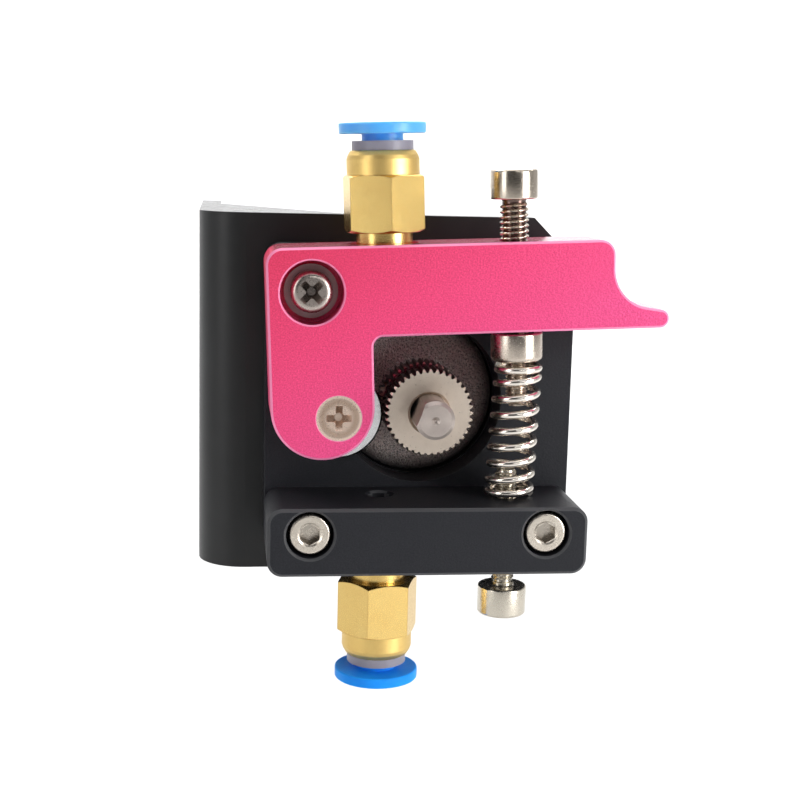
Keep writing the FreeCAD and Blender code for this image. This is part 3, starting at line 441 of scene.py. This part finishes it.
# pink arm: painted light gradient across its faces, painted highlight on chamfers and edges, painted reflection
# darkening its top faces
PINK = anodised("pink_anodised", (0.70, 0.050, 0.155), (0.52, 0.030, 0.100), (0.86, 0.082, 0.235), 0.25, 0.38, grain=5.0, bump=0.6,
                sparkle=0.35, rim=(0.98, 0.34, 0.58), rim_mix=0.75,
                painted_light_gradient=[(0.0, (1.06, 0.76, 0.73)), (0.55, (1.15, 1.0, 1.10)), (1.0, (1.08, 1.14, 1.32))], top=(0.62, 0.5, 0.55))
# black anodised: painted highlight on chamfers (rim) and edges
BLACK = anodised("black_anodised", (0.0130, 0.0137, 0.0172), (0.0092, 0.0097, 0.0122), (0.0195, 0.0205, 0.0255), 0.05, 0.48, grain=5.0,
                 bump=0.35, sparkle=0.15, rim=(0.075, 0.076, 0.08), rim_mix=0.7, spec=0.24)
COAT = powder_coat("black_powder_coat", (0.0105, 0.0108, 0.0112), 0.40, top_sheen_above=23.0)
# one nickel plating in lighter, darker and warmer copies tuned to each screw's light: painted light and shade; the
# pivot copy is darkened for its counterbore's shade, and the warm leg copy carries a painted reflection of the pink arm
NICKEL = metal("nickel_plate", (0.64, 0.59, 0.50), 0.22, scratch=0.35, blotch=0.25, grain=4.0)
HEX_Y, PAN_Y, CSK_Y = -12.8 + 0.56 - OY, -9.6 - OY, -10.1 - OY
BS = A(3.0, 0, -16.3) * 1000
NICKEL_B = metal("nickel_plate_lit_copy", (0.72, 0.655, 0.565), 0.27, scratch=0.35, blotch=0.35, grain=3.5, tarnish=(0.42, 0.33, 0.26),
                 spots=((-15.5 - OX, -15.5, 1.75, HEX_Y + 0.15), (15.5 - OX, -15.5, 1.75, HEX_Y + 0.15)), recess_shade_depth=0.30)
NICKEL_P = metal("nickel_plate_pivot_shaded_copy", (0.52, 0.455, 0.41), 0.27, scratch=0.35, blotch=0.35, grain=3.5, tarnish=(0.34, 0.25, 0.22),
                 spots=((PX - OX, PZ, 1.85, PAN_Y + 0.12),), recess_shade_depth=0.62)
NICKEL_L = metal("nickel_plate_leg", (0.72, 0.56, 0.46), 0.27, scratch=0.45, blotch=0.4, grain=3.5, tarnish=(0.42, 0.31, 0.23),
                 spots=((BS.x, BS.z, 1.75, CSK_Y + 0.12),), recess_shade_depth=0.22,
                 face=(BS.x, BS.z, 3.05, (0.50, 0.35, 0.26)))
# the pink in this dark metal is a painted reflection of the pink arm around the pivot
WASHER = metal("oxide_washer", (0.30, 0.18, 0.185), 0.36, scratch=0.5, blotch=0.4, grain=3.0, edge=0.5)
TS = A(26.8, -6.2, 0.0) * 1000
NICKEL_S = metal("nickel_plate_seat", (0.66, 0.575, 0.49), 0.23, scratch=0.2, blotch=0.2, grain=4.0)
NICKEL_T = metal("nickel_plate_threaded", (0.62, 0.545, 0.455), 0.20, scratch=0.12, blotch=0.2, grain=4.0, root=(TS, math.tan(TILT), 1.56, 1.84))
BRONZE = turned("bush_bronze", (0.58, 0.37, 0.18), 0.36, PX - OX, PZ, tarnish=(0.30, 0.20, 0.12))
GEAR = turned("gear_steel", (0.66, 0.565, 0.475), 0.32, 0 - OX, 0.0, pitch=0.16, depth=0.008, strength=0.45, tarnish=(0.46, 0.38, 0.30),
              blotch=0.25, flank_shade_radius=5.2)
SHAFT = turned("shaft_steel", (0.54, 0.47, 0.43), 0.32, 0 - OX, 0.0, pitch=0.13, depth=0.008, strength=0.5, tarnish=(0.34, 0.31, 0.28))
BEARING = turned("bearing_steel", (0.79, 0.79, 0.80), 0.16, A(3.0, 0, -16.3).x * 1000, A(3.0, 0, -16.3).z * 1000, pitch=0.09, depth=0.004, strength=0.35)
MBEARING = turned("motor_bearing_steel", (0.70, 0.70, 0.71), 0.22, 0 - OX, 0.0, pitch=0.09, depth=0.004, strength=0.35)
SPRING = metal("spring_wire", (0.95, 0.885, 0.80), 0.19, scratch=0.08, blotch=0.12, grain=2.5, edge=0.0)
# one brass: the upper copy lightened and the lower darkened, painted light and shade
BRASS_U = brass("brass_upper", 1.08, 30.35, 1)
BRASS_L = brass("brass_lower", 0.90, -30.85, -1)
# one blue plastic in two copies, the upper lighter and more cyan, the lower deeper and darker: painted light and shade
BLUE_U = plastic("collet_blue_upper", (0.115, 0.47, 0.98), 0.34, sss=0.6, trans=0.15, grain=1.5, bump=0.05)
BLUE_L = plastic("collet_blue_lower", (0.016, 0.30, 1.0), 0.42, sss=0.40, trans=0.05, spec=0.08, grain=1.5, bump=0.05)
GREY = plastic("ring_grey", (0.25, 0.235, 0.28), 0.40, sss=0.1)
RUBBER = plastic("seal_rubber", (0.018, 0.018, 0.018), 0.6, grain=8.0, bump=0.3)
NYLON = plastic("off_white_nylon", (0.80, 0.785, 0.72), 0.42, sss=0.15)
# painted light: the boss inside radius 11.2 is set far lighter than the casting's own grey (outer), standing in for
# light it does not get
CAST = cast("motor_casting", (0.96, 0.80, 0.76), 0.42, scale=2.2, bump=1.0, depth=0.35, low=0.72, high=1.05, speck=3.6, dirt=0.7,
            ring=(0 - OX, 0.0, 8.9, 10.6))
CAP = cast("motor_cap_casting", (0.44, 0.425, 0.42), 0.42, scale=2.0, bump=0.5, depth=0.12, low=0.86, high=1.12, speck=5.0)
LAM = laminated("stator_laminations")
COPPER = metal("copper_wire", (0.60, 0.27, 0.12), 0.30, scratch=0.6, grain=1.0, stretch=(1, 6, 1))
PINMETAL = metal("contact_pins", (0.78, 0.70, 0.50), 0.22)

NODE_MAT = {
    "base_block": BLACK, "mount_bracket": COAT, "base_screws": NICKEL_B, "hidden_base_screw": NICKEL,
    "pivot_screw": NICKEL_P, "pivot_washer": WASHER, "pivot_bush": BRONZE, "pivot_shim": NYLON,
    "motor_front_cap": CAST, "motor_stator": LAM, "motor_windings": COPPER, "motor_rear_cap": CAP,
    "motor_connector": NYLON, "motor_connector_pins": PINMETAL, "motor_case_screws": NICKEL,
    "motor_bearing_outers": MBEARING, "motor_bearing_balls": MBEARING, "motor_bearing_inners": MBEARING,
    "guide_screw": NICKEL, "compression_spring": SPRING, "lower_fitting_body": BRASS_L,
    "lower_fitting_seal": RUBBER, "lower_fitting_claw": SPRING, "lower_fitting_ring": GREY,
    "motor_rotor": SHAFT, "motor_shaft": SHAFT, "drive_gear": GEAR, "gear_set_screw": WASHER,
    "idler_arm": PINK, "bearing_screw": NICKEL_L, "bearing_sleeve": BRONZE, "bearing_nut": NICKEL,
    "bearing_inner": BEARING, "upper_fitting_body": BRASS_U, "upper_fitting_seal": RUBBER,
    "upper_fitting_claw": SPRING, "upper_fitting_ring": GREY, "bearing_outer": BEARING,
    "bearing_balls": BEARING, "bearing_shields": BEARING, "spring_seat": NICKEL_S, "tension_screw": NICKEL_T,
    "upper_collet": BLUE_U, "lower_collet": BLUE_L,
}
for node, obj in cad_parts.items():
    mat = NODE_MAT[node]
    if not obj.material_slots:
        obj.data.materials.append(mat)
    for s in obj.material_slots:
        s.material = mat


# ============================================================== mesh helpers
def mesh_object(name, verts, faces, mat, smooth_deg=35.0):
    me = bpy.data.meshes.new(name)
    me.from_pydata([tuple(v) for v in verts], [], faces)
    me.validate()
    bm = bmesh.new()
    bm.from_mesh(me)
    bmesh.ops.remove_doubles(bm, verts=bm.verts, dist=1e-7)
    bmesh.ops.recalc_face_normals(bm, faces=bm.faces)
    lim = math.radians(smooth_deg)
    for f in bm.faces:
        f.smooth = True
    for e in bm.edges:
        if len(e.link_faces) == 2 and e.calc_face_angle(0.0) > lim:
            e.smooth = False
    bm.to_mesh(me)
    bm.free()
    ob = bpy.data.objects.new(name, me)
    bpy.context.scene.collection.objects.link(ob)
    me.materials.append(mat)
    return ob


def ringstack(name, rings, place, mat, smooth_deg=35.0):
    """Closed shell through rings of equal count, each a list of (x, y, z) in mm; both ends are fanned shut."""
    n = len(rings[0])
    verts = [place(*p) for r in rings for p in r]
    faces = []
    for k in range(len(rings) - 1):
        a, b = k * n, (k + 1) * n
        for i in range(n):
            j = (i + 1) % n
            faces.append((a + i, a + j, b + j, b + i))
    for ring, k, flip in ((rings[0], 0, True), (rings[-1], len(rings) - 1, False)):
        c = len(verts)
        verts.append(place(*[sum(p[d] for p in ring) / n for d in range(3)]))
        for i in range(n):
            j = (i + 1) % n
            f = (k * n + i, k * n + j, c)
            faces.append(tuple(reversed(f)) if flip else f)
    return mesh_object(name, verts, faces, mat, smooth_deg)


def circle(cx, cy, r, z, n, phase=0.0):
    return [(cx + r * math.cos(2 * math.pi * i / n + phase), cy + r * math.sin(2 * math.pi * i / n + phase), z)
            for i in range(n)]


def hexring(cx, cy, af, z, n, turn, soft=0.0):
    out = []
    for i in range(n):
        a = 2 * math.pi * i / n
        d = ((a - turn + math.pi / 6) % (math.pi / 3)) - math.pi / 6
        r = af / 2 / math.cos(d)
        r = min(r, af / math.sqrt(3) - soft)
        out.append((cx + r * math.cos(a), cy + r * math.sin(a), z))
    return out


def thread_rings(cx, cy, r_major, depth, pitch, z0, z1, n, start_fade=0.0, end_fade=0.0, rows=12):
    """Rings of a right-hand screw thread on a vertical axis, going up from z0 to z1."""
    count = max(2, int(round((z1 - z0) / pitch * rows)))
    out = []
    for k in range(count + 1):
        z = z0 + (z1 - z0) * k / count
        ring = []
        fade = 1.0
        if start_fade > 0:
            fade = min(fade, max(0.0, (z - z0) / start_fade))
        if end_fade > 0:
            fade = min(fade, max(0.0, (z1 - z) / end_fade))
        for i in range(n):
            a = 2 * math.pi * i / n
            p = (z / pitch - a / (2 * math.pi)) % 1.0
            t = abs(p - 0.5) * 2.0           # 1 on the crest, 0 in the root
            t = min(1.0, max(0.0, (t - 0.10) / 0.72))
            t = t * t * (3 - 2 * t) * 0.35 + t * 0.65
            r = r_major - depth + depth * t * fade
            ring.append((cx + r * math.cos(a), cy + r * math.sin(a), z))
        out.append(ring)
    return out


# ================================================= screws with real threads
def arc_pts(r0, z0, r1, z1, rc, zc, steps):
    """Quarter-round between two points of a profile about a corner centre."""
    a0 = math.atan2(z0 - zc, r0 - rc)
    a1 = math.atan2(z1 - zc, r1 - rc)
    if a1 - a0 > math.pi:
        a1 -= 2 * math.pi
    if a0 - a1 > math.pi:
        a1 += 2 * math.pi
    rr = math.hypot(r0 - rc, z0 - zc)
    return [(rc + rr * math.cos(a0 + (a1 - a0) * k / steps), zc + rr * math.sin(a0 + (a1 - a0) * k / steps))
            for k in range(steps + 1)]


N = 96


def tension_screw():
    cx, cy = 26.8, -6.2
    tip, seat_end, h0, h1, rh = -8.8, -8.3, 11.1, 14.95, 3.1
    rings = [circle(cx, cy, 0.9, tip, N), circle(cx, cy, 1.25, tip + 0.04, N)]
    rings += thread_rings(cx, cy, 1.91, 0.36, 0.7, tip + 0.35, h0 - 0.35, N, start_fade=0.5, end_fade=0.5)
    rings += [circle(cx, cy, 1.60, h0 - 0.12, N), circle(cx, cy, 1.78, h0, N)]
    for r, z in arc_pts(rh - 0.25, h0, rh, h0 + 0.25, rh - 0.25, h0 + 0.25, 5):
        rings.append(circle(cx, cy, r, z, N))
    for r, z in arc_pts(rh, h1 - 0.4, rh - 0.4, h1, rh - 0.4, h1 - 0.4, 6):
        rings.append(circle(cx, cy, r, z, N))
    rings.append(circle(cx, cy, 1.95, h1, N))
    turn = math.radians(12)
    rings.append(hexring(cx, cy, 3.25, h1 - 0.14, N, turn))
    rings.append(hexring(cx, cy, 3.05, h1 - 0.20, N, turn))
    rings.append(hexring(cx, cy, 3.0, h1 - 2.0, N, turn))
    rings.append(circle(cx, cy, 0.9, h1 - 2.3, N))
    ob = ringstack("tension_screw_threaded", rings, A, NICKEL_T)
    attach(ob, "tension_screw_body")
    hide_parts("tension_screw")


def guide_screw():
    cx, cy = 11.1, -6.2
    h0, h1, rh = -28.15, -24.2, 3.28       # head below the bar
    rings = [circle(cx, cy, 0.9, h0 + 2.3, N)]
    turn = math.radians(5)
    rings.append(hexring(cx, cy, 3.0, h0 + 2.0, N, turn))
    rings.append(hexring(cx, cy, 3.05, h0 + 0.20, N, turn))
    rings.append(hexring(cx, cy, 3.25, h0 + 0.14, N, turn))
    rings.append(circle(cx, cy, 1.95, h0, N))
    for r, z in arc_pts(rh - 0.4, h0, rh, h0 + 0.4, rh - 0.4, h0 + 0.4, 6):
        rings.append(circle(cx, cy, r, z, N))
    for r, z in arc_pts(rh, h1 - 0.25, rh - 0.25, h1, rh - 0.25, h1 - 0.25, 5):
        rings.append(circle(cx, cy, r, z, N))
    rings += [circle(cx, cy, 1.62, h1, N), circle(cx, cy, 1.52, h1 + 0.12, N), circle(cx, cy, 1.52, h1 + 0.5, N)]
    rings += thread_rings(cx, cy, 1.54, 0.27, 0.5, h1 + 0.6, -8.35, N, start_fade=0.4, end_fade=0.4, rows=10)
    rings += [circle(cx, cy, 1.15, -8.1, N), circle(cx, cy, 0.85, -8.0, N)]
    ob = ringstack("guide_screw_threaded", rings, W, NICKEL)
    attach(ob, "frame")
    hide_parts("guide_screw")


def spring_seat():
    cx, cy = 27.05, -6.2
    top, bot, pin = -6.3, -10.15, -16.15
    rings = [circle(cx, cy, 0.9, pin, N), circle(cx, cy, 1.15, pin + 0.08, N)]
    rings += thread_rings(cx, cy, 1.49, 0.26, 0.5, pin + 0.3, bot - 0.3, N, start_fade=0.4, end_fade=0.3, rows=10)
    rings += [circle(cx, cy, 1.35, bot - 0.1, N), circle(cx, cy, 1.45, bot, N), circle(cx, cy, 2.1, bot, N)]
    for r, z in arc_pts(3.45 - 0.75, bot, 3.45, bot + 0.75, 3.45 - 0.75, bot + 0.75, 8):
        rings.append(circle(cx, cy, r, z, N))
    for r, z in arc_pts(3.45, top - 0.25, 3.2, top, 3.2, top - 0.25, 5):
        rings.append(circle(cx, cy, r, z, N))
    rings += [circle(cx, cy, 2.55, top, N), circle(cx, cy, 2.4, top - 0.15, N), circle(cx, cy, 2.4, top - 2.5, N)]
    ob = ringstack("spring_seat_cap", rings, A, NICKEL_S)
    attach(ob, "spring_seat_body")
    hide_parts("spring_seat")


# ==================================================== compression spring
def smooth(a):
    a = max(0.0, min(1.0, a))
    return a * a * (3 - 2 * a)


def spring():
    turns, wire = 9.5, 0.5
    seat = A(27.05, -6.2, -10.15)
    z0 = -12.0 + wire + 0.06
    z1 = seat.z * 1000 - wire - 0.06
    steps = 56
    total = int(turns * steps)
    rate = []
    for i in range(total):
        t = (i + 0.5) / steps
        rate.append(0.55 + 1.72 * smooth((t - 0.25) / 1.2) * smooth((turns - 0.5 - t) / 1.3))
    tot = sum(rate)
    u = [0.0]
    for r in rate:
        u.append(u[-1] + r / tot)
    pts = []
    for i in range(total + 1):
        a = 2 * math.pi * i / steps
        xc = 11.5 + 0.75 * u[i]
        rm = 2.9 - 0.18 * u[i]
        pts.append(Vector((xc + rm * math.cos(a), -6.2 + rm * math.sin(a), z0 + (z1 - z0) * u[i])))
    n = 20
    rings = []
    up = Vector((0, 0, 1))
    for i, p in enumerate(pts):
        q0 = pts[max(0, i - 1)]
        q1 = pts[min(total, i + 1)]
        t = (q1 - q0).normalized()
        side = t.cross(up).normalized()
        nrm = side.cross(t).normalized()
        rings.append([p + side * (wire * math.cos(2 * math.pi * k / n)) + nrm * (wire * math.sin(2 * math.pi * k / n))
                      for k in range(n)])

    def rounded(i, inward):
        """Small rounded nose at a cut wire end."""
        c = pts[i]
        t = (pts[1] - pts[0]).normalized() if i == 0 else (pts[-1] - pts[-2]).normalized()
        out = []
        for k in (0.80, 0.5):
            d = 0.12 * (1.0 - k) * 2.0
            out.append([c + (v - c) * (0.75 + 0.25 * k) + t * (inward * d) for v in rings[i]])
        return out

    cut = int(6.75 * steps)          # the wire is split into two coil objects at this turn
    first = list(reversed(rounded(0, -1)))
    lower = first + rings[:cut + 1]
    upper = rings[cut:] + rounded(total, 1)
    zj = pts[cut].z
    for name, rr, a, b, s, e in (
            ("spring_lower_coils", lower, "frame", "arm", (11.5, z0), (12.0, zj - 0.4)),
            ("spring_upper_coils", upper, "arm", "spring_seat_body", (12.0, zj + 0.4), (12.25, z1))):
        ob = ringstack(name, [[tuple(v) for v in r] for r in rr], W, SPRING, 60.0)
        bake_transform(ob)
        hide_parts("compression_spring")


# ======================================================== laminated stator
def octagon(h, c, r=0.6, per=3):
    """Square of half-width h with corners cut by c, softened."""
    base = [(-h + c, -h), (h - c, -h), (h, -h + c), (h, h - c), (h - c, h), (-h + c, h), (-h, h - c), (-h, -h + c)]
    out = []
    m = len(base)
    for i, p in enumerate(base):
        a, b = base[i - 1], base[(i + 1) % m]
        p, a, b = Vector(p), Vector(a), Vector(b)
        p0 = p + (a - p).normalized() * r
        p1 = p + (b - p).normalized() * r
        for k in range(per + 1):
            t = k / per
            out.append(((1 - t) ** 2 * p0 + 2 * t * (1 - t) * p + t * t * p1)[:])
    return out


def stator():
    y0, y1 = 16.4, 38.4
    sheets = 44
    d = (y1 - y0) / sheets
    loop = octagon(21.15, 6.0)
    n = len(loop)

    def ring(y, inset):
        out = []
        for x, z in loop:
            k = 1.0 - inset / math.hypot(x, z)
            out.append((x * k, y, z * k))
        return out

    rings = []
    bore = []
    for x, z in loop:
        a = math.atan2(z, x)
        bore.append((11.6 * math.cos(a), 11.6 * math.sin(a)))
    rings.append([(x, y0, z) for x, z in bore])
    for k in range(sheets):
        ya = y0 + k * d
        rings.append(ring(ya + (0.0 if k == 0 else 0.05), 0.0))
        rings.append(ring(ya + d - (0.0 if k == sheets - 1 else 0.05), 0.0))
        if k < sheets - 1:
            rings.append(ring(ya + d, 0.07))
    rings.append([(x, y1, z) for x, z in bore])
    verts = [W(*p) for r in rings for p in r]
    faces = []
    m = len(rings)
    for k in range(m):
        a, b = k * n, ((k + 1) % m) * n
        for i in range(n):
            j = (i + 1) % n
            faces.append((a + i, a + j, b + j, b + i))
    ob = mesh_object("stator_laminated_stack", verts, faces, LAM, 40.0)
    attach(ob, "frame")
    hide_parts("motor_stator")


tension_screw()
guide_screw()
spring_seat()
spring()
stator()

# ==================================================================== stage
floor_z = -0.085
fm = Mat("studio_floor")
fn = fm.noise(0.02, 2.0, 0.5)
fm.set(color=fm.mix(fm.maprange(fn, 0.3, 0.7, 0.0, 1.0), (0.56, 0.56, 0.56), (0.58, 0.58, 0.58)), rough=0.8)
prof = [(-1.0, 0.0)]
prof += [(0.9, 0.0)]
for k in range(1, 13):
    a = math.pi / 2 * k / 12
    prof.append((0.9 + 0.5 * math.sin(a), 0.5 - 0.5 * math.cos(a)))
prof.append((1.4, 1.8))
verts, faces = [], []
for y, z in prof:
    verts += [(-2.2, y, floor_z + z), (2.2, y, floor_z + z)]
for k in range(len(prof) - 1):
    faces.append((2 * k, 2 * k + 1, 2 * k + 3, 2 * k + 2))
me = bpy.data.meshes.new("studio_sweep")
me.from_pydata(verts, [], faces)
for p in me.polygons:
    p.use_smooth = True
sweep = bpy.data.objects.new("studio_sweep", me)
bpy.context.scene.collection.objects.link(sweep)
me.materials.append(fm.m)

# ==================================================================== lights
centre = W(0, -4, 0)


def area(name, az, el, dist, w, h, power, color=(1, 1, 1)):
    """Soft box at an azimuth (0 in front, 90 at the right) and height, aimed at the assembly."""
    a, e = math.radians(az), math.radians(el)
    d = Vector((math.sin(a) * math.cos(e), -math.cos(a) * math.cos(e), math.sin(e)))
    L = bpy.data.lights.new(name, "AREA")
    L.shape = "RECTANGLE"
    L.size, L.size_y = w, h
    L.energy = power
    L.color = color
    o = bpy.data.objects.new(name, L)
    o.location = centre + d * dist
    o.rotation_euler = (-d).to_track_quat("-Z", "Y").to_euler()
    bpy.context.scene.collection.objects.link(o)
    return o


area("softbox_left", -60, 12, 0.75, 0.26, 0.80, 1.8)
area("softbox_right", 50, 6, 0.30, 0.12, 0.20, 0.62)
area("softbox_right_far", 50, 10, 0.80, 0.50, 0.90, 2.2)
area("softbox_top", 5, 80, 0.85, 0.9, 0.7, 1.7)
area("fill_front", 12, 25, 1.2, 0.5, 0.25, 0.95)


def wash(name, loc, target, w, h, power):
    L = bpy.data.lights.new(name, "AREA")
    L.shape = "RECTANGLE"
    L.size, L.size_y = w, h
    L.energy = power
    o = bpy.data.objects.new(name, L)
    o.location = loc
    o.rotation_euler = (Vector(target) - Vector(loc)).to_track_quat("-Z", "Y").to_euler()
    bpy.context.scene.collection.objects.link(o)


wash("backdrop_wash", (0.0, 0.85, 1.35), (0.0, 1.3, 0.0), 2.6, 0.6, 60.0)

world = bpy.data.worlds.new("studio")
bpy.context.scene.world = world
world.use_nodes = True
nt = world.node_tree
bg = nt.nodes["Background"]
tc = nt.nodes.new("ShaderNodeTexCoord")
sp = nt.nodes.new("ShaderNodeSeparateXYZ")
rp = nt.nodes.new("ShaderNodeValToRGB")
mr = nt.nodes.new("ShaderNodeMapRange")
nt.links.new(tc.outputs["Generated"], sp.inputs[0])
nt.links.new(sp.outputs[1], mr.inputs[0])
mr.inputs[1].default_value = -1.0
mr.inputs[2].default_value = 1.0
nt.links.new(mr.outputs[0], rp.inputs[0])
e = rp.color_ramp.elements
e[0].position, e[0].color = 0.0, (0.10, 0.10, 0.105, 1)
e[1].position, e[1].color = 0.62, (1.0, 1.0, 1.0, 1)
m1 = e.new(0.32)
m1.color = (0.16, 0.16, 0.165, 1)
nt.links.new(rp.outputs[0], bg.inputs[0])
bg.inputs[1].default_value = 0.55

bpy.context.scene.view_settings.view_transform = "Standard"
bpy.context.scene.view_settings.look = "None"

# ==================================================================== camera
yaw, pitch, roll = 0.1263, 0.1692, 0.0247
cyw, syw = math.cos(yaw), math.sin(yaw)
cp, sp_ = math.cos(pitch), math.sin(pitch)
cr, sr = math.cos(roll), math.sin(roll)
fwd = Vector((syw * cp, cyw * cp, -sp_))
right = Vector((cyw, -syw, 0.0))
upv = right.cross(fwd)
r2 = right * cr + upv * sr
u2 = upv * cr - right * sr
cam = bpy.data.cameras.new("photo_view")
cam.sensor_width = 36.0
cam.lens = 1427.35 / 800.0 * 36.0
cam.shift_x, cam.shift_y = -0.12 / 800.0, 0.74 / 800.0
cam.clip_start, cam.clip_end = 0.01, 20.0
co = bpy.data.objects.new("photo_view", cam)
bpy.context.scene.collection.objects.link(co)
loc = W(-26.8475, -190.3076, 32.7374)
co.matrix_world = Matrix(((r2.x, u2.x, -fwd.x, loc.x), (r2.y, u2.y, -fwd.y, loc.y), (r2.z, u2.z, -fwd.z, loc.z), (0, 0, 0, 1)))
bpy.context.scene.camera = co
